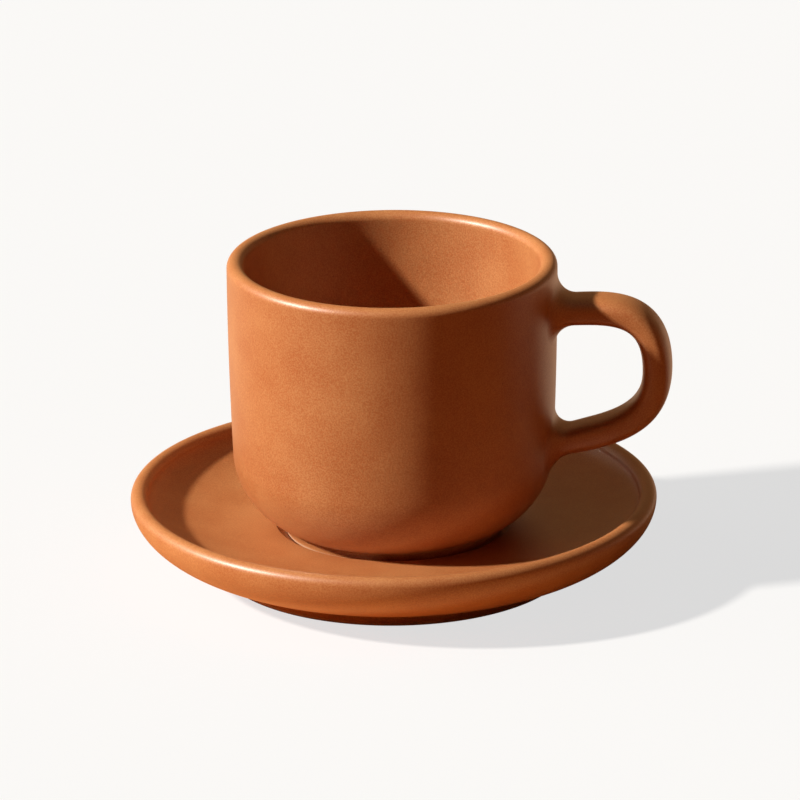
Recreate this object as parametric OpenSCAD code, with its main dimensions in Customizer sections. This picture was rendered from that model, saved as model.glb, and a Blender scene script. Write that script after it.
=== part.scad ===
// Stoneware coffee cup with a looped handle, standing in the sunk seat of its saucer.
// Millimetres, +Z up, +X towards the handle. The origin is on the table, at the
// middle of the saucer's foot ring, which is also the axis of both revolved pieces.

/* [Saucer] */
// Outside diameter of the saucer
saucer_d = 136.6; // [126:0.1:150]
// Height of the top of the saucer's rim above the table
saucer_h = 21.1; // [19:0.1:25]
// Height of the level well round the cup's seat
well_h = 12; // [11.4:0.1:13]
// Diameter of the level well
well_d = 73; // [66:0.5:90]
// Diameter of the sunk seat that keeps the cup in the middle
seat_d = 61; // [59.5:0.1:64]
// Depth of the seat below the well
seat_depth = 2; // [1.4:0.1:2.4]
// Thickness of the saucer's rim
saucer_lip_t = 4.4; // [3.4:0.1:5.4]
// Outside diameter of the saucer's foot ring
saucer_foot_d = 92.8; // [84:0.1:98]
// Width of the saucer's foot ring where it meets the table
saucer_foot_w = 4.4; // [3.4:0.1:6]
// Height of the underside above the table, where the outer curve runs level
saucer_under_h = 3; // [2.4:0.1:4]
// Depth of the recess inside the saucer's foot ring
saucer_recess_h = 6.2; // [4.5:0.1:6.6]

/* [Cup] */
// Outside diameter of the cup below its lip
cup_d = 85; // [80:0.5:92]
// Height of the cup from its foot to its lip
cup_h = 73.4; // [68:0.1:80]
// Thickness of the cup's wall
cup_wall_t = 4.4; // [3.4:0.1:5]
// How far the wall draws in from the lip down to the bottom corner
wall_draw = 1; // [0.5:0.1:2]
// Height above the foot at which the wall turns into the bottom corner
corner_h = 21.4; // [18:0.1:24]
// Height of the body's underside above the foot, inside the corner
cup_under_h = 1.1; // [0.8:0.1:1.4]
// Thickness of the floor above the recess in the foot
cup_floor_t = 4.8; // [3.6:0.1:6]
// Height above the foot at which the inside of the wall turns into the floor
inner_corner_h = 21.5; // [18:0.1:26]
// Outside diameter of the cup's foot ring
cup_foot_d = 57; // [50:0.1:58]
// Width of the cup's foot ring where it meets the saucer
cup_foot_w = 3.6; // [2.8:0.1:5]
// Depth of the recess inside the cup's foot ring
cup_recess_h = 2.3; // [1.6:0.1:2.8]

/* [Handle] */
// Height of the upper arm's centre line above the cup's foot
upper_arm_h = 61; // [57:0.1:62]
// Height above the foot at which the lower arm's centre line meets the wall
lower_arm_h = 24.9; // [22:0.1:28]
// Height above the foot of the centre line's outermost point
grip_h = 45.6; // [42:0.1:49]
// Distance from the wall to the centre line's outermost point
grip_out = 26; // [23:0.1:32]
// Thickness of the handle at its outermost point
grip_t = 7.5; // [6.5:0.1:9]
// Thickness of the two arms
arm_t = 7.2; // [6.2:0.1:8.5]
// Width of the handle across its flat
handle_w = 12.8; // [10:0.1:16]
// Radius of the fillets where the arms flare out on to the wall
root_r = 5; // [3.4:0.1:5.6]
// Upward slope of the lower arm where it leaves the wall, in degrees
lower_slope_angle = 14.8; // [8:0.1:20]

/* [Hidden] */
cup_color = "#c4713f";
saucer_color = "#bd6a3a";
handle_color = "#c97a48";
$fn = 96;

// Small sizes of the saucer
saucer_lip_h = 2.15;
saucer_foot_edge_r = 0.5;
saucer_foot_draft = 0.5;
// Where the saucer's outer curve starts, as a share of the foot ring's radius
saucer_start_share = 0.793;
// Roundness of the saucer's outer curve: 2 is an ellipse
saucer_curve_share = 1.95;
// Radius of the seat's rounded upper edge, and of the fillet round its floor
seat_edge_r = 0.4;
seat_fillet_r = 0.5;

// Small sizes of the cup
cup_lip_h = 2.1;
cup_foot_edge_r = 0.5;
cup_foot_draft = 0.4;
// Where the bottom corner starts, as a share of the foot ring's radius
corner_start_share = 0.7;
// Where the inside corner starts, as a share of the foot ring's radius
inner_start_share = 0.7;
// Squareness of the cup's corners: 2 is an ellipse
corner_curve_share = 2.03;
inner_curve_share = 2;

// How far each Bezier handle pulls the centre line, as shares of the grip's
// reach and of its height over or under the arms
upper_pull_share = 0.372;
upper_rise_share = 1.3;
lower_drop_share = 0.73;
lower_pull_share = 0.523;
// Squareness of the handle's section
section_curve_share = 2.8;
// The angle at which the root's fillet meets the wall, so that its edge isn't a feather
root_edge_angle = 12;
// How far the handle's ends run into the wall before they are cut to it
root_plunge = 1.4;

// Steps of the curves
wall_steps = 8;
corner_steps = 14;
lip_steps = 12;
edge_steps = 4;
section_steps = 32;
root_steps = 6;
arm_steps = 16;

// Derived sizes of the saucer
saucer_r = saucer_d / 2;
saucer_foot_r = saucer_foot_d / 2;
saucer_lip_z = saucer_h - saucer_lip_h;
saucer_start_r = saucer_foot_r * saucer_start_share;
well_r = well_d / 2;
seat_r = seat_d / 2;
seat_z = well_h - seat_depth;
dish_r = saucer_r - saucer_lip_t;

// Derived sizes of the cup
cup_r = cup_d / 2;
cup_foot_r = cup_foot_d / 2;
cup_lip_z = cup_h - cup_lip_h;
corner_r = cup_foot_r * corner_start_share;
inner_r = cup_foot_r * inner_start_share;
cup_floor_h = cup_recess_h + cup_floor_t;

// A point of an ellipse or, away from power 2, of a rounder or squarer oval
function oval(angle, across, up, power) = [
    across * sign(cos(angle)) * pow(abs(cos(angle)), 2 / power),
    up * sign(sin(angle)) * pow(abs(sin(angle)), 2 / power)
];
// Oval points about a centre, from one angle to another
function oval_arc(centre, across, up, power, from, to, steps) = [
    for (i = [0:steps]) centre + oval(from + (to - from) * i / steps, across, up, power)
];
// The angle at which an oval of that reach and power has gone out by a distance
function oval_angle(out, reach, power) = acos(pow(out / reach, power / 2));

// Radius of the cup's outer wall at a height above its foot, without the corner
function wall_r(z) = cup_r - wall_draw * pow((cup_lip_z - z) / (cup_lip_z - corner_h), 2);
// Share of the way out that the bottom corner has reached at a height
function corner_share(z) =
    z >= corner_h ? 1
    : pow(1 - pow((corner_h - z) / (corner_h - cup_under_h), corner_curve_share), 1 / corner_curve_share);
// Radius of the cup's outside at a height above its foot
function outer_r(z) = corner_r + (wall_r(z) - corner_r) * corner_share(z);

// Heights down the cup's outside, closer together round the bottom corner
corner_end = oval_angle(cup_foot_r - corner_r, wall_r(cup_under_h) - corner_r, corner_curve_share);
corner_heights = [
    for (i = [0:corner_steps])
        corner_h + oval(-corner_end * i / corner_steps, 1, corner_h - cup_under_h, corner_curve_share).y
];
wall_heights = [for (i = [0:wall_steps - 1]) cup_lip_z + (corner_h - cup_lip_z) * i / wall_steps];
// The cup's outside from its lip down to its foot ring
outside = [for (z = concat(wall_heights, corner_heights)) [outer_r(z), z]];

// A foot ring's section, from its outside at the table to its recess
function foot(outer, width, draft, edge, recess) = concat(
    oval_arc([outer - draft - edge, edge], edge, edge, 2, 0, -90, edge_steps),
    oval_arc([outer - draft - width + edge, edge], edge, edge, 2, -90, -180, edge_steps),
    [[outer - draft - width - draft, recess], [0, recess]]
);

module saucer() {
    curve_end = oval_angle(saucer_foot_r - saucer_start_r, saucer_r - saucer_start_r, saucer_curve_share);
    rim_rise = saucer_lip_z - saucer_under_h;
    color(saucer_color)
    rotate_extrude()
    polygon(concat(
        // Sunk seat, level well, and the concave curve up to the rim
        [[0, seat_z]],
        oval_arc([seat_r - seat_fillet_r, seat_z + seat_fillet_r], seat_fillet_r, seat_fillet_r, 2, -90, 0,
                 edge_steps),
        oval_arc([seat_r + seat_edge_r, well_h - seat_edge_r], seat_edge_r, seat_edge_r, 2, 180, 90, edge_steps),
        oval_arc([well_r, saucer_lip_z], dish_r - well_r, saucer_lip_z - well_h, 2, -90, 0, corner_steps),
        // Rounded rim
        [for (i = [1:lip_steps])
            [saucer_r - saucer_lip_t / 2, saucer_lip_z]
            + oval(180 - 180 * i / lip_steps, saucer_lip_t / 2, saucer_lip_h, 2)],
        // Outer curve down to the foot ring
        [for (i = [1:corner_steps])
            [saucer_start_r, saucer_lip_z]
            + oval(-curve_end * i / corner_steps, saucer_r - saucer_start_r, rim_rise, saucer_curve_share)],
        foot(saucer_foot_r, saucer_foot_w, saucer_foot_draft, saucer_foot_edge_r, saucer_recess_h)
    ));
}

module cup_body() {
    bore_r = cup_r - cup_wall_t;
    // The inside keeps the wall's thickness, and rounds into the floor
    inside_wall = [for (z = wall_heights) if (z > inner_corner_h && z < cup_lip_z) [wall_r(z) - cup_wall_t, z]];
    inside_corner = [
        for (i = [0:corner_steps])
            [inner_r, inner_corner_h]
            + oval(-90 * i / corner_steps, wall_r(inner_corner_h) - cup_wall_t - inner_r,
                   inner_corner_h - cup_floor_h, inner_curve_share)
    ];
    lip = oval_arc([bore_r + cup_wall_t / 2, cup_lip_z], cup_wall_t / 2, cup_lip_h, 2, 180, 0, lip_steps);
    down_inside = concat(inside_wall, inside_corner, [[0, cup_floor_h]]);
    color(cup_color)
    translate([0, 0, seat_z])
    rotate_extrude()
    polygon(concat(
        [for (i = [len(down_inside) - 1:-1:0]) down_inside[i]],
        lip,
        [for (i = [1:len(outside) - 1]) outside[i]],
        foot(cup_foot_r, cup_foot_w, cup_foot_draft, cup_foot_edge_r, cup_recess_h)
    ));
}

// Bezier curve through four points, and its direction
function bezier(p, t) =
    pow(1 - t, 3) * p[0] + 3 * pow(1 - t, 2) * t * p[1] + 3 * (1 - t) * t * t * p[2] + pow(t, 3) * p[3];
function bezier_slope(p, t) =
    pow(1 - t, 2) * (p[1] - p[0]) + 2 * (1 - t) * t * (p[2] - p[1]) + t * t * (p[3] - p[2]);
function smooth(t) = t * t * (3 - 2 * t);

// Points round one ring of the handle, as [outwards, across], grown by a fillet
function section(thick, grow) = [
    for (k = [0:section_steps - 1])
        oval(360 * k / section_steps, thick / 2 + grow, handle_w / 2 + grow, section_curve_share)
];
// A ring square to the centre line at a point that heads in a direction
function arm_ring(at, heading, thick) =
    let (h = heading / norm(heading))
    [for (s = section(thick, 0)) [at.x - h.y * s.x, s.y, at.y + h.x * s.x]];
// A ring of the fillet: it follows the round wall at a distance, and leans with the arm.
// side is 1 on the upper arm and -1 on the lower one, which the centre line runs down.
function root_ring(height, slope, side, angle) =
    let (off = root_r * (1 - cos(angle)),
         lean = slope * smooth(angle / 90),
         middle = height + off * tan(slope))
    [for (s = section(arm_t, root_r * (1 - sin(angle))))
        let (z = middle + side * s.x * cos(lean))
        [sqrt(pow(outer_r(z), 2) - pow(s.y, 2)) + off - side * s.x * sin(lean), s.y, z]];
// The flat end of a root, inside the wall
function plunge_ring(height, side) =
    let (widest = handle_w / 2 + root_r)
    [for (s = section(arm_t, root_r * (1 - sin(root_edge_angle))))
        [sqrt(pow(outer_r(lower_arm_h), 2) - pow(widest, 2)) - root_plunge, s.y, height + side * s.x]];

module handle_sweep() {
    grip_x = outer_r(upper_arm_h) + grip_out;
    upper = [
        [outer_r(upper_arm_h), upper_arm_h],
        [outer_r(upper_arm_h) + grip_out * upper_pull_share, upper_arm_h],
        [grip_x, grip_h + (upper_arm_h - grip_h) * upper_rise_share],
        [grip_x, grip_h]
    ];
    lower = [
        [grip_x, grip_h],
        [grip_x, grip_h - (grip_h - lower_arm_h) * lower_drop_share],
        [outer_r(lower_arm_h), lower_arm_h]
            + grip_out * lower_pull_share * [cos(lower_slope_angle), sin(lower_slope_angle)],
        [outer_r(lower_arm_h), lower_arm_h]
    ];
    // The share of each Bezier curve that the root's fillet takes up, with room to lean
    room = root_r + arm_t / 3;
    upper_taken = room / (3 * grip_out * upper_pull_share);
    lower_taken = room / (3 * grip_out * lower_pull_share);
    angles = [for (i = [0:root_steps]) root_edge_angle + (90 - root_edge_angle) * i / root_steps];
    rings = concat(
        [plunge_ring(upper_arm_h, 1)],
        [for (a = angles) root_ring(upper_arm_h, 0, 1, a)],
        [for (i = [0:arm_steps - 1])
            let (t = upper_taken + (1 - upper_taken) * i / arm_steps)
            arm_ring(bezier(upper, t), bezier_slope(upper, t), arm_t + (grip_t - arm_t) * smooth(t))],
        [for (i = [0:arm_steps])
            let (t = (1 - lower_taken) * i / arm_steps)
            arm_ring(bezier(lower, t), bezier_slope(lower, t), grip_t + (arm_t - grip_t) * smooth(t))],
        [for (i = [root_steps:-1:0]) root_ring(lower_arm_h, lower_slope_angle, -1, angles[i])],
        [plunge_ring(lower_arm_h, -1)]
    );
    last = len(rings) - 1;
    polyhedron(
        points = [for (ring = rings, p = ring) p],
        faces = concat(
            [[for (k = [0:section_steps - 1]) k]],
            [for (j = [0:last - 1], k = [0:section_steps - 1])
                let (a = j * section_steps + k,
                     b = j * section_steps + (k + 1) % section_steps)
                each [[a, a + section_steps, b], [b, a + section_steps, b + section_steps]]],
            [[for (k = [section_steps - 1:-1:0]) last * section_steps + k]]
        )
    );
}

// The arms are cut to the curve of the wall, which they seat on face to face
module handle() {
    color(handle_color)
    translate([0, 0, seat_z])
    difference() {
        handle_sweep();
        rotate_extrude()
        polygon(concat(outside, [[0, outside[len(outside) - 1].y], [0, cup_lip_z]]));
    }
}

saucer();
cup_body();
handle();
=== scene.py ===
import math

import bpy
from bpy.props import FloatProperty, FloatVectorProperty, IntProperty, PointerProperty
from mathutils import Matrix, Vector


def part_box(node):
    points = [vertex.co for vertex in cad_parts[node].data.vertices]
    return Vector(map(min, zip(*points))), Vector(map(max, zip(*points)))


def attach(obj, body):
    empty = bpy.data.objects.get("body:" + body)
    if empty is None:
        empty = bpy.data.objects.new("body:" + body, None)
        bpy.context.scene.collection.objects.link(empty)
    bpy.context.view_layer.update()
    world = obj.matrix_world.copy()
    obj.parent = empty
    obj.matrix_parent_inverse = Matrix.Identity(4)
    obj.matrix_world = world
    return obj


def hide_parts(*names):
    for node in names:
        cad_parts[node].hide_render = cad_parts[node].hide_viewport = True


bl_info = {
    "name": "Cup and Saucer",
    "version": (1, 0, 0),
    "blender": (4, 5, 0),
    "location": "3D View > Sidebar > Pottery",
    "description": "Turns a glazed stoneware cup and saucer, pulls the handle and lights them",
    "category": "Add Mesh",
}

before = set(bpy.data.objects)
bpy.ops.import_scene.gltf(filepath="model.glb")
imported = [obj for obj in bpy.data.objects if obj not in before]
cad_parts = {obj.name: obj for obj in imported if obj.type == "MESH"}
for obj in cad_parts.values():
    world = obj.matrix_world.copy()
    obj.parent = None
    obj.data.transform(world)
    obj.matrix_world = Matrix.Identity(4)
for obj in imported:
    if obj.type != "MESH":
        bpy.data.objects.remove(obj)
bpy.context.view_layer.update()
SAUCER_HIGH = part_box("saucer")[1]
CUP_LOW, CUP_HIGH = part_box("cup_body")
MM = 0.001

# The saucer's outer curve starts this share of the foot ring's radius out
SAUCER_START_SHARE = 0.793
# The cup's corners start these shares of its foot ring's radius out
CORNER_START_SHARE = 0.7
INNER_START_SHARE = 0.7
# How far the curve of the handle is pulled, as shares of its reach and of its height
UPPER_PULL_SHARE = 0.372
UPPER_RISE_SHARE = 1.3
LOWER_DROP_SHARE = 0.73
LOWER_PULL_SHARE = 0.523

# Power of an oval that is a plain circle or ellipse
ELLIPSE = 2

# Points along each stretch of an outline
WALL_POINTS = 40
CORNER_POINTS = 48
LIP_POINTS = 24
EDGE_POINTS = 6

# Rings along the flared root and the arm of the handle, and what each ring stores on its point
ROOT_RINGS = 26
ARM_RINGS = 64
RING_FIELDS = {"thick": "FLOAT_VECTOR", "wide": "FLOAT_VECTOR", "clear": "FLOAT", "hug": "FLOAT"}

# Points of a turned or drawn surface nearer than this are one point
WELD = 0.001 * MM

# Sizes in the glaze. Its crystals are 0.1 mm across, and are drawn coarser so that they show
GRAIN_SIZE = 0.4 * MM
CLOUD_SIZE = 14 * MM
SPECK_SPACING = 2.4 * MM
# Height of the glaze's relief, in which the clouds count this many times as much as the grain
RELIEF = 0.03 * MM
CLOUD_RELIEF = 3.0
# The glaze thins towards a lip over this height
THIN_HEIGHT = 3 * MM
# The foot is wiped bare below one height and glazed above the other, and both waver down by up to this
BARE_BELOW = 1.1 * MM
GLAZED_ABOVE = 1.3 * MM
WAVER = 0.6 * MM

# Satin glaze and bare clay: typical values, matched to the photograph
GLAZE_IOR = 1.5
SATIN_LOW = 0.42
SATIN_HIGH = 0.5
CLAY_ROUGHNESS = 0.85
COAT_WEIGHT = 0.6
COAT_ROUGHNESS = 0.4

WHITE = (1, 1, 1, 1)


def length(name, default, description):
    """A size in metres that a user may change"""
    return FloatProperty(
        name=name, description=description, default=default, min=0, precision=5, unit="LENGTH"
    )


def angle(name, degrees, description):
    """An angle that a user may change, given in degrees"""
    return FloatProperty(name=name, description=description, default=math.radians(degrees), subtype="ANGLE")


def number(name, default, description, least=0, most=100):
    """A plain number that a user may change"""
    return FloatProperty(name=name, description=description, default=default, min=least, max=most)


def linear(hex_colour):
    """Linear RGBA of an sRGB hex colour"""
    channels = [int(hex_colour[i:i + 2], 16) / 255 for i in (1, 3, 5)]
    return [c / 12.92 if c <= 0.04045 else ((c + 0.055) / 1.055) ** 2.4 for c in channels] + [1]


def colour(name, default, description):
    """A colour that a user may change, given as sRGB hex"""
    return FloatVectorProperty(
        name=name, description=description, default=linear(default), min=0, max=1, size=4, subtype="COLOR"
    )


class SaucerSizes(bpy.types.PropertyGroup):
    """Sizes of the saucer, from the table up"""
    radius: length("Radius", SAUCER_HIGH.x, "Outside radius of the rim")
    height: length("Height", SAUCER_HIGH.z, "Height of the rim above the table")
    well_height: length("Well height", 12 * MM, "Height of the level well")
    well_radius: length("Well radius", 36.5 * MM, "Radius of the level well")
    seat_height: length("Seat height", CUP_LOW.z, "Height of the sunk seat that the cup stands on")
    seat_radius: length("Seat radius", 30.5 * MM, "Radius of the seat")
    seat_edge: length("Seat edge", 0.4 * MM, "Radius of the seat's upper edge")
    seat_fillet: length("Seat fillet", 0.5 * MM, "Radius of the fillet round the seat's floor")
    lip_thickness: length("Lip thickness", 4.4 * MM, "Thickness of the rim")
    lip_rise: length("Lip rise", 2.15 * MM, "Height of the rim's rounding")
    foot_radius: length("Foot radius", 46.4 * MM, "Outside radius of the foot ring")
    foot_width: length("Foot width", 4.4 * MM, "Width of the foot ring at the table")
    foot_draft: length("Foot draft", 0.5 * MM, "How far the foot ring leans in")
    foot_edge: length("Foot edge", 0.5 * MM, "Radius of the foot ring's edges")
    underside: length("Underside", 3 * MM, "Height of the underside where its curve runs level")
    recess: length("Recess", 6.2 * MM, "Depth of the recess inside the foot ring")
    roundness: number("Roundness", 1.95, "Outer curve: 2 is an ellipse, more is squarer", least=1)


class CupSizes(bpy.types.PropertyGroup):
    """Sizes of the cup, from its foot up"""
    radius: length("Radius", CUP_HIGH.x, "Outside radius below the lip")
    height: length("Height", CUP_HIGH.z - CUP_LOW.z, "Height of the lip above the foot")
    foot_height: length("Foot height", CUP_LOW.z, "Height above the table at which the cup stands")
    wall: length("Wall", 4.4 * MM, "Thickness of the wall")
    draw: length("Draw", 1 * MM, "How far the wall draws in from lip to corner")
    lip_rise: length("Lip rise", 2.1 * MM, "Height of the lip's rounding")
    corner: length("Corner", 21.4 * MM, "Height at which the wall turns into the bottom corner")
    inner_corner: length("Inner corner", 21.5 * MM, "Height at which the inside turns into the floor")
    underside: length("Underside", 1.1 * MM, "Height of the underside inside the corner")
    floor: length("Floor", 4.8 * MM, "Thickness of the floor above the recess")
    foot_radius: length("Foot radius", 28.5 * MM, "Outside radius of the foot ring")
    foot_width: length("Foot width", 3.6 * MM, "Width of the foot ring where it stands")
    foot_draft: length("Foot draft", 0.4 * MM, "How far the foot ring leans in")
    foot_edge: length("Foot edge", 0.5 * MM, "Radius of the foot ring's edges")
    recess: length("Recess", 2.3 * MM, "Depth of the recess inside the foot ring")
    squareness: number("Squareness", 2.03, "Outer corner: 2 is an ellipse, more is squarer", least=1)
    inner_squareness: number("Inner squareness", 2, "Inner corner: 2 is an ellipse, more is squarer", least=1)


class HandleSizes(bpy.types.PropertyGroup):
    """Sizes of the handle, with heights above the cup's foot"""
    upper_arm: length("Upper arm", 61 * MM, "Height of the upper arm's centre line")
    lower_arm: length("Lower arm", 24.9 * MM, "Height at which the lower arm's centre line meets the wall")
    grip: length("Grip", 45.6 * MM, "Height of the centre line's outermost point")
    reach: length("Reach", 26 * MM, "Distance from the wall to the centre line's outermost point")
    grip_thickness: length("Grip thickness", 7.5 * MM, "Thickness at the outermost point")
    arm_thickness: length("Arm thickness", 7.2 * MM, "Thickness of the two arms")
    width: length("Width", 12.8 * MM, "Width across the flat")
    fillet: length("Fillet", 5 * MM, "Radius of the fillets where the arms flare on to the wall")
    lower_slope: angle("Lower slope", 14.8, "Upward slope of the lower arm where it leaves the wall")
    squareness: number("Squareness", 2.8, "Section: 2 is an ellipse, more is squarer", least=1)
    sides: IntProperty(name="Sides", description="Steps round the section", default=72, min=12)


class GlazeSettings(bpy.types.PropertyGroup):
    """Colours of the glaze and of the clay"""
    glaze: colour("Glaze", "#AB6031", "Terracotta glaze where it lies thick")
    pale: colour("Pale glaze", "#CB8E59", "The same glaze where it lies thin, over grain and edges")
    iron: colour("Iron", "#8A431F", "Specks of iron that bleed through the glaze")
    clay: colour("Clay", "#C79A78", "Bare fired stoneware on the foot rings")
    sides: IntProperty(name="Sides", description="Steps round each turned piece", default=300, min=24)


class StudioSettings(bpy.types.PropertyGroup):
    """Camera, lamps and floor"""
    floor: colour("Floor", "#E6E6E6", "Pale matt floor, as it is seen")
    floor_glow: number("Floor glow", 0.7, "How much of the seen floor's tone is light of its own", most=1)
    sheet: colour("Sheet", "#E8AA69", "Light sheet under the saucer, which brightens its underside")
    sheet_radius: length("Sheet radius", 80 * MM, "Distance from the middle to which the sheet is plain")
    sheet_end: length("Sheet end", 120 * MM, "Distance from the middle at which the sheet has faded out")
    bounce: colour("Bounce", "#8E5026", "What the floor round the sheet sends back")
    glow: colour("Glow", "#F6B775", "Colour of the floor behind as the glaze shows it")
    front_gloss: number("Front in gloss", 0.02, "How much of the floor in front shows in the glaze", most=1)
    back_gloss: number("Back in gloss", 1, "How much of the floor behind shows in the glaze", most=1)
    gloss_depth: length("Gloss depth", 150 * MM, "Distance behind the middle at which all of it shows")
    backdrop: colour("Backdrop", "#A97B4E", "Warm wall behind the set, which shows only in the glaze")
    key: colour("Key lamp", "#FFF9F0", "Colour of the key lamp, on the left and a little to the front")
    key_strength: number("Key strength", 5.95, "Strength of the key lamp")
    key_softness: angle("Key softness", 4, "Apparent size of the key lamp")
    key_azimuth: angle("Key azimuth", 20.8, "Where the key lamp's light heads, from +X towards +Y")
    key_elevation: angle("Key elevation", 33, "Height of the key lamp")
    side: colour("Side lamp", "#FFF6E0", "Colour of the wide soft lamp on the left")
    side_strength: number("Side strength", 0.3, "Strength of the side lamp")
    side_softness: angle("Side softness", 50, "Apparent size of the side lamp")
    side_azimuth: angle("Side azimuth", -8, "Where the side lamp's light heads, from +X towards +Y")
    side_elevation: angle("Side elevation", 25, "Height of the side lamp")
    top: colour("Top lamp", "#FFF4E4", "Colour of the wide soft lamp overhead")
    top_strength: number("Top strength", 0.04, "Strength of the top lamp")
    top_softness: angle("Top softness", 60, "Apparent size of the top lamp")
    top_azimuth: angle("Top azimuth", 0, "Where the top lamp's light heads, from +X towards +Y")
    top_elevation: angle("Top elevation", 90, "Height of the top lamp")
    fill: colour("Fill", "#FF9559", "Colour of the soft light from all round")
    fill_strength: number("Fill strength", 0.005, "Strength of the soft light from all round")


def oval(degrees, across, up, power):
    """Point of an ellipse or, at a lower or higher power, of a more pointed or a squarer oval"""
    cosine, sine = math.cos(math.radians(degrees)), math.sin(math.radians(degrees))
    return (
        across * math.copysign(abs(cosine) ** (2 / power), cosine),
        up * math.copysign(abs(sine) ** (2 / power), sine),
    )


def oval_arc(centre, across, up, power, start, end, steps):
    """Points of an oval about a centre, from one angle to another"""
    points = [oval(start + (end - start) * i / steps, across, up, power) for i in range(steps + 1)]
    return [(centre[0] + out, centre[1] + rise) for out, rise in points]


def oval_angle(out, reach, power):
    """The angle in degrees at which an oval of that reach has gone out by a distance"""
    return math.degrees(math.acos((out / reach) ** (power / 2)))


def foot_outline(piece):
    """Outline of a foot ring, from its outside at the bottom to the middle of its recess"""
    edge = piece.foot_edge
    outer = piece.foot_radius - piece.foot_draft - edge
    inner = piece.foot_radius - piece.foot_draft - piece.foot_width + edge
    return (
        oval_arc((outer, edge), edge, edge, ELLIPSE, 0, -90, EDGE_POINTS)
        + oval_arc((inner, edge), edge, edge, ELLIPSE, -90, -180, EDGE_POINTS)
        + [(inner - edge - piece.foot_draft, piece.recess), (0, piece.recess)]
    )


def saucer_outline(saucer):
    """Half section of the saucer, from the middle of its seat round to the middle underneath"""
    lip = saucer.height - saucer.lip_rise
    dish = saucer.radius - saucer.lip_thickness
    half_lip = saucer.lip_thickness / 2
    depth = lip - saucer.well_height
    start = saucer.foot_radius * SAUCER_START_SHARE
    reach = saucer.radius - start
    end = oval_angle(saucer.foot_radius - start, reach, saucer.roundness)
    fillet, edge = saucer.seat_fillet, saucer.seat_edge
    seat_floor = (saucer.seat_radius - fillet, saucer.seat_height + fillet)
    seat_top = (saucer.seat_radius + edge, saucer.well_height - edge)
    well = (saucer.well_radius, lip)
    return (
        [(0, saucer.seat_height)]
        + oval_arc(seat_floor, fillet, fillet, ELLIPSE, -90, 0, EDGE_POINTS)
        + oval_arc(seat_top, edge, edge, ELLIPSE, 180, 90, EDGE_POINTS)
        + oval_arc(well, dish - saucer.well_radius, depth, ELLIPSE, -90, 0, CORNER_POINTS)
        + oval_arc((dish + half_lip, lip), half_lip, saucer.lip_rise, ELLIPSE, 180, 0, LIP_POINTS)[1:]
        + oval_arc((start, lip), reach, lip - saucer.underside, saucer.roundness, 0, -end, CORNER_POINTS)[1:]
        + foot_outline(saucer)
    )


def wall_radius(cup, height):
    """Radius of the cup's outer wall at a height above the foot, as if it had no corner"""
    lip = cup.height - cup.lip_rise
    return cup.radius - cup.draw * ((lip - height) / (lip - cup.corner)) ** 2


def outer_radius(cup, height):
    """Radius of the cup's outside at a height above the foot, corner included"""
    if height >= cup.corner:
        return wall_radius(cup, height)
    start = cup.foot_radius * CORNER_START_SHARE
    down = (cup.corner - height) / (cup.corner - cup.underside)
    share = (1 - down ** cup.squareness) ** (1 / cup.squareness)
    return start + (wall_radius(cup, height) - start) * share


def cup_outline(cup):
    """Half section of the cup, from the middle of its floor round to the middle underneath"""
    lip = cup.height - cup.lip_rise
    walls = [lip + (cup.corner - lip) * i / WALL_POINTS for i in range(WALL_POINTS)]
    outer_start = cup.foot_radius * CORNER_START_SHARE
    outer_reach = wall_radius(cup, cup.underside) - outer_start
    end = oval_angle(cup.foot_radius - outer_start, outer_reach, cup.squareness)
    drop = cup.corner - cup.underside
    corner = oval_arc((outer_start, cup.corner), outer_reach, drop, cup.squareness, 0, -end, CORNER_POINTS)
    inner_start = cup.foot_radius * INNER_START_SHARE
    inner_reach = wall_radius(cup, cup.inner_corner) - cup.wall - inner_start
    floor = cup.recess + cup.floor
    inside = (
        [(wall_radius(cup, z) - cup.wall, z) for z in walls if cup.inner_corner < z < lip]
        + oval_arc(
            (inner_start, cup.inner_corner), inner_reach, cup.inner_corner - floor,
            cup.inner_squareness, 0, -90, CORNER_POINTS
        )
        + [(0, floor)]
    )
    half_wall = cup.wall / 2
    outline = (
        inside[::-1]
        + oval_arc((cup.radius - half_wall, lip), half_wall, cup.lip_rise, ELLIPSE, 180, 0, LIP_POINTS)
        + [(outer_radius(cup, z), z) for z in walls[1:] + [height for _, height in corner]]
        + foot_outline(cup)
    )
    return [(out, height + cup.foot_height) for out, height in outline]


def add_node(tree, kind, settings=None, inputs=None):
    """Add a node, set it, and fill its sockets with values or with other nodes' sockets. A socket is given
    by its name, or by its number where several have one name"""
    node = tree.nodes.new(kind)
    for name, value in (settings or {}).items():
        setattr(node, name, value)
    for name, value in (inputs or {}).items():
        if isinstance(value, bpy.types.NodeSocket):
            tree.links.new(value, node.inputs[name])
        else:
            node.inputs[name].default_value = value
    return node


def new_tree(name, inputs):
    """A Geometry Nodes tree with named inputs after its geometry, and its input node"""
    tree = bpy.data.node_groups.new(name, "GeometryNodeTree")
    tree.interface.new_socket("Geometry", in_out="INPUT", socket_type="NodeSocketGeometry")
    for label, kind in inputs.items():
        tree.interface.new_socket(label, in_out="INPUT", socket_type=kind)
    tree.interface.new_socket("Geometry", in_out="OUTPUT", socket_type="NodeSocketGeometry")
    return tree, tree.nodes.new("NodeGroupInput")


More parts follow.
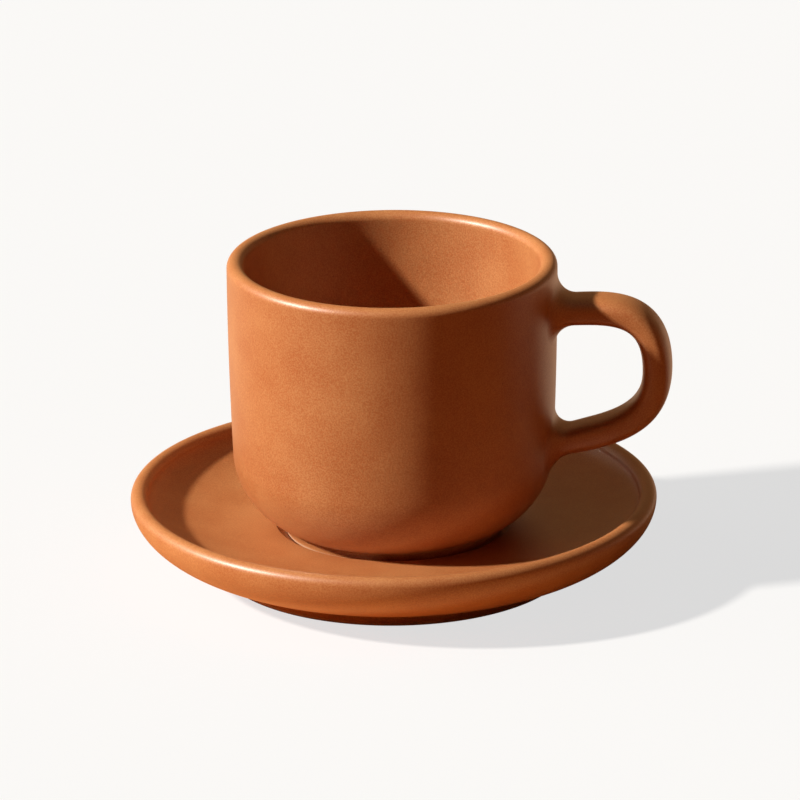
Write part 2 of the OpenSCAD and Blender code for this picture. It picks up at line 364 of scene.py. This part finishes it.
def rings_and_sides(tree, given):
    """A grid with a row for each point of the given line and a column for each side, and both numbers"""
    count = add_node(tree, "GeometryNodeAttributeDomainSize", {}, {"Geometry": given.outputs["Geometry"]})
    points = count.outputs["Point Count"]
    sides = given.outputs["Sides"]
    columns = add_node(tree, "FunctionNodeIntegerMath", {"operation": "ADD"}, {0: sides, 1: 1})
    grid = add_node(
        tree, "GeometryNodeMeshGrid", {}, {"Vertices X": columns.outputs[0], "Vertices Y": points}
    )
    index = add_node(tree, "GeometryNodeInputIndex").outputs[0]
    ring = add_node(tree, "FunctionNodeIntegerMath", {"operation": "MODULO"}, {0: index, 1: points})
    side = add_node(tree, "FunctionNodeIntegerMath", {"operation": "DIVIDE"}, {0: index, 1: points})
    part = add_node(tree, "ShaderNodeMath", {"operation": "DIVIDE"}, {0: side.outputs[0], 1: sides})
    turn = add_node(tree, "ShaderNodeMath", {"operation": "MULTIPLY"}, {0: part.outputs[0], 1: math.tau})
    return grid.outputs["Mesh"], ring.outputs[0], turn.outputs[0]


def sample(tree, given, ring, kind, field):
    """The value of a field at the given line's point for each ring"""
    return add_node(
        tree, "GeometryNodeSampleIndex", {"data_type": kind},
        {"Geometry": given.outputs["Geometry"], "Value": field, "Index": ring},
    ).outputs[0]


def close_tree(tree, given, grid, position):
    """Move the grid's points, weld its seam and poles, and give it its glaze"""
    moved = add_node(tree, "GeometryNodeSetPosition", {}, {"Geometry": grid, "Position": position})
    welded = add_node(
        tree, "GeometryNodeMergeByDistance", {}, {"Geometry": moved.outputs[0], "Distance": WELD}
    )
    smoothed = add_node(tree, "GeometryNodeSetShadeSmooth", {}, {"Geometry": welded.outputs[0]})
    real = add_node(tree, "GeometryNodeRealizeInstances", {}, {"Geometry": smoothed.outputs[0]})
    glaze = given.outputs["Material"]
    glazed = add_node(tree, "GeometryNodeSetMaterial", {}, {"Geometry": real.outputs[0], "Material": glaze})
    add_node(tree, "NodeGroupOutput", {}, {0: glazed.outputs[0]})


def wheel_tree():
    """Turns an outline that stands in the XZ plane about the Z axis"""
    tree, given = new_tree("Wheel", {"Sides": "NodeSocketInt", "Material": "NodeSocketMaterial"})
    grid, ring, turn = rings_and_sides(tree, given)
    place = add_node(tree, "GeometryNodeInputPosition")
    point = sample(tree, given, ring, "FLOAT_VECTOR", place.outputs[0])
    turned = add_node(
        tree, "ShaderNodeVectorRotate", {"rotation_type": "Z_AXIS"}, {"Vector": point, "Angle": turn}
    )
    close_tree(tree, given, grid, turned.outputs[0])
    return tree


def handle_tree():
    """Draws an oval section along the rings of a path, and seats the ends on the wall"""
    tree, given = new_tree("Pulled handle", {
        "Sides": "NodeSocketInt", "Squareness": "NodeSocketFloat",
        "Wall": "NodeSocketObject", "Material": "NodeSocketMaterial",
    })
    grid, ring, turn = rings_and_sides(tree, given)
    squareness = given.outputs["Squareness"]
    power = add_node(tree, "ShaderNodeMath", {"operation": "DIVIDE"}, {0: 2.0, 1: squareness})
    shares = []
    for operation in ("COSINE", "SINE"):
        wave = add_node(tree, "ShaderNodeMath", {"operation": operation}, {0: turn})
        sign = add_node(tree, "ShaderNodeMath", {"operation": "SIGN"}, {0: wave.outputs[0]})
        size = add_node(tree, "ShaderNodeMath", {"operation": "ABSOLUTE"}, {0: wave.outputs[0]})
        bent = add_node(
            tree, "ShaderNodeMath", {"operation": "POWER"}, {0: size.outputs[0], 1: power.outputs[0]}
        )
        share = add_node(
            tree, "ShaderNodeMath", {"operation": "MULTIPLY"}, {0: bent.outputs[0], 1: sign.outputs[0]}
        )
        shares.append(share.outputs[0])
    place = add_node(tree, "GeometryNodeInputPosition")
    centre = sample(tree, given, ring, "FLOAT_VECTOR", place.outputs[0])
    fields = {}
    for name, kind in RING_FIELDS.items():
        stored = add_node(tree, "GeometryNodeInputNamedAttribute", {"data_type": kind}, {"Name": name})
        fields[name] = sample(tree, given, ring, kind, stored.outputs["Attribute"])
    out = add_node(
        tree, "ShaderNodeVectorMath", {"operation": "SCALE"}, {"Vector": fields["thick"], "Scale": shares[0]}
    )
    across = add_node(
        tree, "ShaderNodeVectorMath", {"operation": "SCALE"}, {"Vector": fields["wide"], "Scale": shares[1]}
    )
    section = add_node(
        tree, "ShaderNodeVectorMath", {"operation": "ADD"}, {0: out.outputs[0], 1: across.outputs[0]}
    )
    point = add_node(tree, "ShaderNodeVectorMath", {"operation": "ADD"}, {0: centre, 1: section.outputs[0]})
    # A ray along -X finds the wall beside the point, and the point moves to its clearance from it
    ray_start = 200 * MM
    apart = add_node(tree, "ShaderNodeSeparateXYZ", {}, {0: point.outputs[0]})
    source = add_node(
        tree, "ShaderNodeCombineXYZ", {}, {"X": ray_start, "Y": apart.outputs["Y"], "Z": apart.outputs["Z"]}
    )
    wall = add_node(tree, "GeometryNodeObjectInfo", {}, {"Object": given.outputs["Wall"]})
    ray = add_node(tree, "GeometryNodeRaycast", {}, {
        "Target Geometry": wall.outputs["Geometry"], "Source Position": source.outputs[0],
        "Ray Direction": (-1, 0, 0), "Ray Length": 2 * ray_start,
    })
    hit = add_node(tree, "ShaderNodeSeparateXYZ", {}, {0: ray.outputs["Hit Position"]})
    seat = add_node(tree, "ShaderNodeMath", {"operation": "ADD"}, {0: hit.outputs["X"], 1: fields["clear"]})
    seated = add_node(
        tree, "ShaderNodeMix", {}, {0: fields["hug"], 2: apart.outputs["X"], 3: seat.outputs[0]}
    )
    final = add_node(
        tree, "ShaderNodeCombineXYZ", {},
        {"X": seated.outputs[0], "Y": apart.outputs["Y"], "Z": apart.outputs["Z"]},
    )
    close_tree(tree, given, grid, final.outputs[0])
    return tree


def line_mesh(name, points):
    """A mesh of edges through points"""
    mesh = bpy.data.meshes.new(name)
    mesh.from_pydata(points, [(i, i + 1) for i in range(len(points) - 1)], [])
    return mesh


def shape(name, line, tree, values):
    """Run a tree on a line and keep the result as a plain mesh object at the origin"""
    scratch = bpy.data.objects.new(name + "_line", line)
    bpy.context.scene.collection.objects.link(scratch)
    modifier = scratch.modifiers.new("Shape", "NODES")
    modifier.node_group = tree
    for item in tree.interface.items_tree:
        if item.in_out == "INPUT" and item.name in values:
            modifier[item.identifier] = values[item.name]
    bpy.context.view_layer.update()
    depsgraph = bpy.context.evaluated_depsgraph_get()
    mesh = bpy.data.meshes.new_from_object(scratch.evaluated_get(depsgraph), depsgraph=depsgraph)
    if not mesh.polygons:
        raise RuntimeError(f"{name} came out with no faces")
    mesh.name = name
    bpy.data.objects.remove(scratch)
    piece = bpy.data.objects.new(name, mesh)
    bpy.context.scene.collection.objects.link(piece)
    return piece


def bezier(points, share):
    """Point of a Bezier curve, as (outwards, up)"""
    rest = 1 - share
    weights = (rest ** 3, 3 * rest ** 2 * share, 3 * rest * share ** 2, share ** 3)
    return Vector([sum(w * p[axis] for w, p in zip(weights, points)) for axis in (0, 1)])


def bezier_heading(points, share):
    """Unit direction of a Bezier curve"""
    rest = 1 - share
    weights = (rest ** 2, 2 * rest * share, share ** 2)
    steps = [[b[axis] - a[axis] for axis in (0, 1)] for a, b in zip(points, points[1:])]
    return Vector([sum(w * s[axis] for w, s in zip(weights, steps)) for axis in (0, 1)]).normalized()


def share_out(points, distance):
    """The share of a curve, in its first half, at which it has gone a distance outwards from its start"""
    close_enough = 1e-6
    low, high = 0, 0.5
    while high - low > close_enough:
        middle = (low + high) / 2
        if bezier(points, middle)[0] - points[0][0] < distance:
            low = middle
        else:
            high = middle
    return low


def smooth(share):
    """Eases from 0 to 1"""
    share = min(max(share, 0), 1)
    return share * share * (3 - 2 * share)


def arm_rings(handle, points, side):
    """Rings from inside the wall, out through the flared root and along one arm to the grip.
    side is 1 on the upper arm and -1 on the lower one."""
    fillet = handle.fillet
    # The flare ends just inside the wall, past which a cap closes the arm
    dive = 0.04 * MM
    plunge = 1.4 * MM
    # The buried end is wider than the arm by this share of the fillet, all round
    buried_share = 1.14
    # The fillet is drawn between these angles, the first of which is a little way out from the wall
    first_angle, last_angle = 2, 90
    # Rings hug the wall out to this distance, and let go of it over the next
    hug_end = fillet / 2
    release = 1.5 * fillet
    rings = [(-plunge, None), (-plunge, buried_share), (-dive, buried_share)]
    for i in range(ROOT_RINGS + 1):
        turn = math.radians(first_angle + (last_angle - first_angle) * i / ROOT_RINGS)
        rings.append((fillet * (1 - math.cos(turn)), 1 - math.sin(turn)))
    root_end = share_out(points, fillet)
    made = []
    for clear, grow in rings:
        share = share_out(points, max(clear, 0))
        made.append((share, clear, None if grow is None else grow * fillet))
    for i in range(1, ARM_RINGS + 1):
        share = root_end + (1 - root_end) * i / ARM_RINGS
        made.append((share, bezier(points, share)[0] - points[0][0], 0))
    result = []
    gain = handle.grip_thickness - handle.arm_thickness
    for share, clear, grow in made:
        at = bezier(points, share)
        heading = bezier_heading(points, share) * side
        half_thick = (handle.arm_thickness + gain * smooth(share)) / 2
        sizes = (0, 0) if grow is None else (half_thick + grow, handle.width / 2 + grow)
        result.append({
            "at": (at[0] + min(clear, 0), at[1]),
            "thick": (-heading[1] * sizes[0], 0, heading[0] * sizes[0]),
            "wide": (0, sizes[1], 0),
            "clear": clear,
            "hug": 1 - smooth((clear - hug_end) / release),
        })
    return result


def handle_line(cup, handle):
    """The handle's rings as points of a line, with what each ring needs stored on its point"""
    upper_root = outer_radius(cup, handle.upper_arm)
    lower_root = outer_radius(cup, handle.lower_arm)
    grip_out = upper_root + handle.reach
    slope = handle.lower_slope
    lower_pull = handle.reach * LOWER_PULL_SHARE
    upper = [
        (upper_root, handle.upper_arm),
        (upper_root + handle.reach * UPPER_PULL_SHARE, handle.upper_arm),
        (grip_out, handle.grip + (handle.upper_arm - handle.grip) * UPPER_RISE_SHARE),
        (grip_out, handle.grip),
    ]
    lower = [
        (lower_root, handle.lower_arm),
        (lower_root + lower_pull * math.cos(slope), handle.lower_arm + lower_pull * math.sin(slope)),
        (grip_out, handle.grip - (handle.grip - handle.lower_arm) * LOWER_DROP_SHARE),
        (grip_out, handle.grip),
    ]
    rings = arm_rings(handle, upper, 1) + arm_rings(handle, lower, -1)[-2::-1]
    line = line_mesh("handle", [(ring["at"][0], 0, ring["at"][1] + cup.foot_height) for ring in rings])
    for name, kind in RING_FIELDS.items():
        attribute = line.attributes.new(name, kind, "POINT")
        for item, ring in zip(attribute.data, rings):
            if kind == "FLOAT":
                item.value = ring[name]
            else:
                item.vector = ring[name]
    return line


def glazed_stoneware(name, look, lip_height, foot_height):
    """Satin iron-bearing glaze, sprayed on stoneware and fired: soft broad highlights, a fine matt
    grain from crystals in the glaze, faint clouds, a few iron specks and paler clay on a wiped foot"""
    material = bpy.data.materials.new(name)
    material.use_nodes = True
    tree = material.node_tree
    tree.nodes.clear()
    where = add_node(tree, "ShaderNodeTexCoord").outputs["Object"]
    height = add_node(tree, "ShaderNodeSeparateXYZ", {}, {0: where}).outputs["Z"]
    grain = add_node(tree, "ShaderNodeTexNoise", {}, {
        "Vector": where, "Scale": 1 / GRAIN_SIZE, "Detail": 2.0, "Roughness": 0.6,
    }).outputs[0]
    clouds = add_node(
        tree, "ShaderNodeTexNoise", {}, {"Vector": where, "Scale": 1 / CLOUD_SIZE, "Detail": 3.0}
    ).outputs[0]
    grain_share = add_node(
        tree, "ShaderNodeMapRange", {}, {0: grain, "From Min": 0.38, "From Max": 0.64, "To Max": 0.5}
    ).outputs[0]
    cloud_share = add_node(
        tree, "ShaderNodeMapRange", {}, {0: clouds, "From Min": 0.35, "From Max": 0.65, "To Max": 0.25}
    ).outputs[0]
    thin = add_node(tree, "ShaderNodeMapRange", {"interpolation_type": "SMOOTHSTEP"}, {
        0: height, "From Min": lip_height - THIN_HEIGHT, "From Max": lip_height, "To Max": 0.1,
    }).outputs[0]
    paleness = add_node(
        tree, "ShaderNodeMath", {"operation": "ADD"}, {0: grain_share, 1: cloud_share}
    ).outputs[0]
    paleness = add_node(
        tree, "ShaderNodeMath", {"operation": "ADD", "use_clamp": True}, {0: paleness, 1: thin}
    ).outputs[0]
    glaze = add_node(
        tree, "ShaderNodeMix", {"data_type": "RGBA"}, {0: paleness, 6: look.glaze, 7: look.pale}
    ).outputs[2]
    # Only some cells of the pattern hold an iron speck
    cells = add_node(tree, "ShaderNodeTexVoronoi", {}, {"Vector": where, "Scale": 1 / SPECK_SPACING})
    chance = add_node(tree, "ShaderNodeSeparateColor", {}, {0: cells.outputs["Color"]}).outputs[0]
    size = add_node(
        tree, "ShaderNodeMapRange", {}, {0: chance, "From Min": 0.6, "From Max": 1.0, "To Max": 0.12}
    ).outputs[0]
    inside = add_node(
        tree, "ShaderNodeMath", {"operation": "SUBTRACT"}, {0: size, 1: cells.outputs["Distance"]}
    ).outputs[0]
    speck = add_node(
        tree, "ShaderNodeMapRange", {}, {0: inside, "From Min": 0.0, "From Max": 0.05, "To Max": 0.6}
    ).outputs[0]
    specked = add_node(
        tree, "ShaderNodeMix", {"data_type": "RGBA"}, {0: speck, 6: glaze, 7: look.iron}
    ).outputs[2]
    line = add_node(
        tree, "ShaderNodeMath", {"operation": "MULTIPLY_ADD"}, {0: clouds, 1: WAVER, 2: height}
    ).outputs[0]
    bare = add_node(tree, "ShaderNodeMapRange", {}, {
        0: line, "From Min": foot_height + GLAZED_ABOVE, "From Max": foot_height + BARE_BELOW,
    }).outputs[0]
    base = add_node(
        tree, "ShaderNodeMix", {"data_type": "RGBA"}, {0: bare, 6: specked, 7: look.clay}
    ).outputs[2]
    satin = add_node(tree, "ShaderNodeMapRange", {}, {
        0: grain, "From Min": 0.3, "From Max": 0.7, "To Min": SATIN_LOW, "To Max": SATIN_HIGH,
    }).outputs[0]
    roughness = add_node(tree, "ShaderNodeMix", {}, {0: bare, 2: satin, 3: CLAY_ROUGHNESS}).outputs[0]
    relief = add_node(
        tree, "ShaderNodeMath", {"operation": "MULTIPLY_ADD"}, {0: clouds, 1: CLOUD_RELIEF, 2: grain}
    ).outputs[0]
    bump = add_node(
        tree, "ShaderNodeBump", {}, {"Strength": 1.0, "Distance": RELIEF, "Height": relief}
    ).outputs[0]
    shader = add_node(tree, "ShaderNodeBsdfPrincipled", {}, {
        "Base Color": base, "Roughness": roughness, "IOR": GLAZE_IOR, "Normal": bump,
        "Coat Weight": COAT_WEIGHT, "Coat Roughness": COAT_ROUGHNESS, "Coat Normal": bump,
    })
    add_node(tree, "ShaderNodeOutputMaterial", {}, {"Surface": shader.outputs[0]})
    return material


def seen(tree, gloss):
    """How much of a pale background a ray shows: all to the camera and through glass, a share in gloss"""
    path = add_node(tree, "ShaderNodeLightPath").outputs
    share = add_node(
        tree, "ShaderNodeMath", {"operation": "MULTIPLY"}, {0: path["Is Glossy Ray"], 1: gloss}
    ).outputs[0]
    for name in ("Is Camera Ray", "Is Transmission Ray"):
        share = add_node(
            tree, "ShaderNodeMath", {"operation": "MAXIMUM"}, {0: share, 1: path[name]}
        ).outputs[0]
    return share


def dress(piece, node, body):
    """Let a piece stand for its CAD node and move with its body"""
    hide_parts(node)
    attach(piece, body)


class POTTERY_OT_saucer(bpy.types.Operator):
    """Turn the saucer and glaze it"""
    bl_idname = "pottery.saucer"
    bl_label = "Turn saucer"

    def execute(self, context):
        saucer, look = context.scene.pottery_saucer, context.scene.pottery_glaze
        glaze = glazed_stoneware("saucer_glaze", look, saucer.height, 0)
        line = line_mesh("saucer", [(out, 0, up) for out, up in saucer_outline(saucer)])
        piece = shape("saucer_glazed", line, wheel_tree(), {"Sides": look.sides, "Material": glaze})
        dress(piece, "saucer", "saucer")
        return {"FINISHED"}


class POTTERY_OT_cup(bpy.types.Operator):
    """Turn the cup and glaze it"""
    bl_idname = "pottery.cup"
    bl_label = "Turn cup"

    def execute(self, context):
        cup, look = context.scene.pottery_cup, context.scene.pottery_glaze
        glaze = glazed_stoneware("cup_glaze", look, cup.foot_height + cup.height, cup.foot_height)
        line = line_mesh("cup", [(out, 0, up) for out, up in cup_outline(cup)])
        piece = shape("cup_body_glazed", line, wheel_tree(), {"Sides": look.sides, "Material": glaze})
        dress(piece, "cup_body", "cup")
        return {"FINISHED"}


class POTTERY_OT_handle(bpy.types.Operator):
    """Pull the handle, seat it on the cup's wall and glaze it"""
    bl_idname = "pottery.handle"
    bl_label = "Pull handle"

    def execute(self, context):
        cup, handle = context.scene.pottery_cup, context.scene.pottery_handle
        look = context.scene.pottery_glaze
        glaze = glazed_stoneware("handle_glaze", look, cup.foot_height + cup.height, cup.foot_height)
        wall = bpy.data.objects.get("cup_body_glazed")
        if wall is None:
            raise RuntimeError("turn the cup before its handle")
        values = {"Sides": handle.sides, "Squareness": handle.squareness, "Wall": wall, "Material": glaze}
        piece = shape("handle_glazed", handle_line(cup, handle), handle_tree(), values)
        dress(piece, "handle", "cup")
        return {"FINISHED"}


class POTTERY_OT_stage(bpy.types.Operator):
    """Lay the pale floor, hang the lamps and set up the camera"""
    bl_idname = "pottery.stage"
    bl_label = "Set stage"

    def execute(self, context):
        studio = context.scene.pottery_studio
        self.lay_floor(context, studio)
        self.light_world(context, studio)
        for name in ("key", "side", "top"):
            self.hang_lamp(context, studio, name)
        self.place_camera(context)
        context.scene.view_settings.view_transform = "Standard"
        return {"FINISHED"}

    def lay_floor(self, context, studio):
        """Pale matt paper: it keeps the shadow and shows close to white. A light sheet under the saucer
        brightens its underside, and past the sheet the floor sends back only a warm dim bounce"""
        half = 30.0
        corners = [(-half, -half, 0), (half, -half, 0), (half, half, 0), (-half, half, 0)]
        mesh = bpy.data.meshes.new("floor")
        mesh.from_pydata(corners, [], [(0, 1, 2, 3)])
        material = bpy.data.materials.new("pale_floor")
        material.use_nodes = True
        tree = material.node_tree
        tree.nodes.clear()
        where = add_node(tree, "ShaderNodeTexCoord").outputs["Object"]
        depth = add_node(tree, "ShaderNodeSeparateXYZ", {}, {0: where}).outputs["Y"]
        gloss = add_node(tree, "ShaderNodeMapRange", {}, {
            0: depth, "From Min": 0.0, "From Max": studio.gloss_depth,
            "To Min": studio.front_gloss, "To Max": studio.back_gloss,
        }).outputs[0]
        shown = seen(tree, gloss)
        away = add_node(tree, "ShaderNodeVectorMath", {"operation": "LENGTH"}, {0: where}).outputs["Value"]
        past = add_node(tree, "ShaderNodeMapRange", {}, {
            0: away, "From Min": studio.sheet_radius, "From Max": studio.sheet_end,
        }).outputs[0]
        sent = add_node(
            tree, "ShaderNodeMix", {"data_type": "RGBA"}, {0: past, 6: studio.sheet, 7: studio.bounce}
        ).outputs[2]
        tone = add_node(
            tree, "ShaderNodeMix", {"data_type": "RGBA"}, {0: shown, 6: sent, 7: studio.floor}
        ).outputs[2]
        paper = add_node(tree, "ShaderNodeBsdfDiffuse", {}, {"Color": tone})
        glossy = add_node(tree, "ShaderNodeLightPath").outputs["Is Glossy Ray"]
        tint = add_node(
            tree, "ShaderNodeMix", {"data_type": "RGBA"}, {0: glossy, 6: WHITE, 7: studio.glow}
        ).outputs[2]
        own = add_node(tree, "ShaderNodeEmission", {}, {"Color": tint, "Strength": 1.0})
        share = add_node(tree, "ShaderNodeMath", {"operation": "MULTIPLY"}, {0: shown, 1: studio.floor_glow})
        both = add_node(
            tree, "ShaderNodeMixShader", {}, {0: share.outputs[0], 1: paper.outputs[0], 2: own.outputs[0]}
        )
        add_node(tree, "ShaderNodeOutputMaterial", {}, {"Surface": both.outputs[0]})
        mesh.materials.append(material)
        floor = bpy.data.objects.new("floor", mesh)
        context.scene.collection.objects.link(floor)

    def light_world(self, context, studio):
        """Faint warm light from all round, white to the camera, and a warm wall in the glaze"""
        world = bpy.data.worlds.new("studio")
        world.use_nodes = True
        tree = world.node_tree
        tree.nodes.clear()
        glossy = add_node(tree, "ShaderNodeLightPath").outputs["Is Glossy Ray"]
        fill = add_node(
            tree, "ShaderNodeBackground", {}, {"Color": studio.fill, "Strength": studio.fill_strength}
        )
        wall = add_node(tree, "ShaderNodeBackground", {}, {"Color": studio.backdrop})
        white = add_node(tree, "ShaderNodeBackground", {}, {"Color": WHITE})
        around = add_node(
            tree, "ShaderNodeMixShader", {}, {0: glossy, 1: fill.outputs[0], 2: wall.outputs[0]}
        )
        shown = seen(tree, 0.0)
        whole = add_node(
            tree, "ShaderNodeMixShader", {}, {0: shown, 1: around.outputs[0], 2: white.outputs[0]}
        )
        add_node(tree, "ShaderNodeOutputWorld", {}, {"Surface": whole.outputs[0]})
        context.scene.world = world

    def hang_lamp(self, context, studio, name):
        """Hang one of the distant lamps: the key, or a wide weak one on the left or overhead"""
        azimuth, elevation = getattr(studio, name + "_azimuth"), getattr(studio, name + "_elevation")
        lamp = bpy.data.lights.new(name, "SUN")
        lamp.energy = getattr(studio, name + "_strength")
        lamp.color = getattr(studio, name)[:3]
        lamp.angle = getattr(studio, name + "_softness")
        level = math.cos(elevation)
        heading = Vector((level * math.cos(azimuth), level * math.sin(azimuth), -math.sin(elevation)))
        hung = bpy.data.objects.new(name, lamp)
        hung.rotation_euler = heading.to_track_quat("-Z", "Y").to_euler()
        hung.location = -heading
        context.scene.collection.objects.link(hung)

    def place_camera(self, context):
        """A long lens at the photograph's angle, from a little towards the handle's end. Its numbers come
        from a fit to the outlines there"""
        distance = 1.696
        elevation = math.radians(20.862)
        roll = math.radians(-0.396)
        handle_turn = math.radians(6.5)
        aim = Vector((1.806 * MM, 0, 44.813 * MM))
        sensor_width = 36
        focal_length = 292.5
        place = Vector((0, -distance * math.cos(elevation), distance * math.sin(elevation)))
        data = bpy.data.cameras.new("camera")
        data.sensor_width = sensor_width
        data.lens = focal_length
        camera = bpy.data.objects.new("camera", data)
        turn = (aim - place).to_track_quat("-Z", "Y").to_matrix().to_4x4()
        upright = Matrix.Translation(place) @ turn @ Matrix.Rotation(roll, 4, "Z")
        camera.matrix_world = Matrix.Rotation(handle_turn, 4, "Z") @ upright
        context.scene.collection.objects.link(camera)
        context.scene.camera = camera


class POTTERY_PT_panel(bpy.types.Panel):
    """Lists the steps and the sizes they use"""
    bl_idname = "POTTERY_PT_panel"
    bl_label = "Cup and saucer"
    bl_space_type = "VIEW_3D"
    bl_region_type = "UI"
    bl_category = "Pottery"

    def draw(self, context):
        for step in STEPS:
            self.layout.operator(step.bl_idname)
        for name in GROUPS:
            group = getattr(context.scene, name)
            box = self.layout.box()
            box.label(text=group.bl_rna.description)
            for key in group.__annotations__:
                box.prop(group, key)


STEPS = (POTTERY_OT_saucer, POTTERY_OT_cup, POTTERY_OT_handle, POTTERY_OT_stage)
GROUPS = {
    "pottery_saucer": SaucerSizes,
    "pottery_cup": CupSizes,
    "pottery_handle": HandleSizes,
    "pottery_glaze": GlazeSettings,
    "pottery_studio": StudioSettings,
}


def register():
    """Register the groups, the steps and the panel"""
    for name, group in GROUPS.items():
        bpy.utils.register_class(group)
        setattr(bpy.types.Scene, name, PointerProperty(type=group))
    for kind in STEPS + (POTTERY_PT_panel,):
        bpy.utils.register_class(kind)


def unregister():
    """Take away what register added"""
    for kind in (POTTERY_PT_panel,) + STEPS[::-1]:
        bpy.utils.unregister_class(kind)
    for name, group in GROUPS.items():
        delattr(bpy.types.Scene, name)
        bpy.utils.unregister_class(group)


def main():
    """Make every piece and the stage"""
    register()
    bpy.ops.pottery.saucer()
    bpy.ops.pottery.cup()
    bpy.ops.pottery.handle()
    bpy.ops.pottery.stage()


if __name__ == "__main__":
    main()
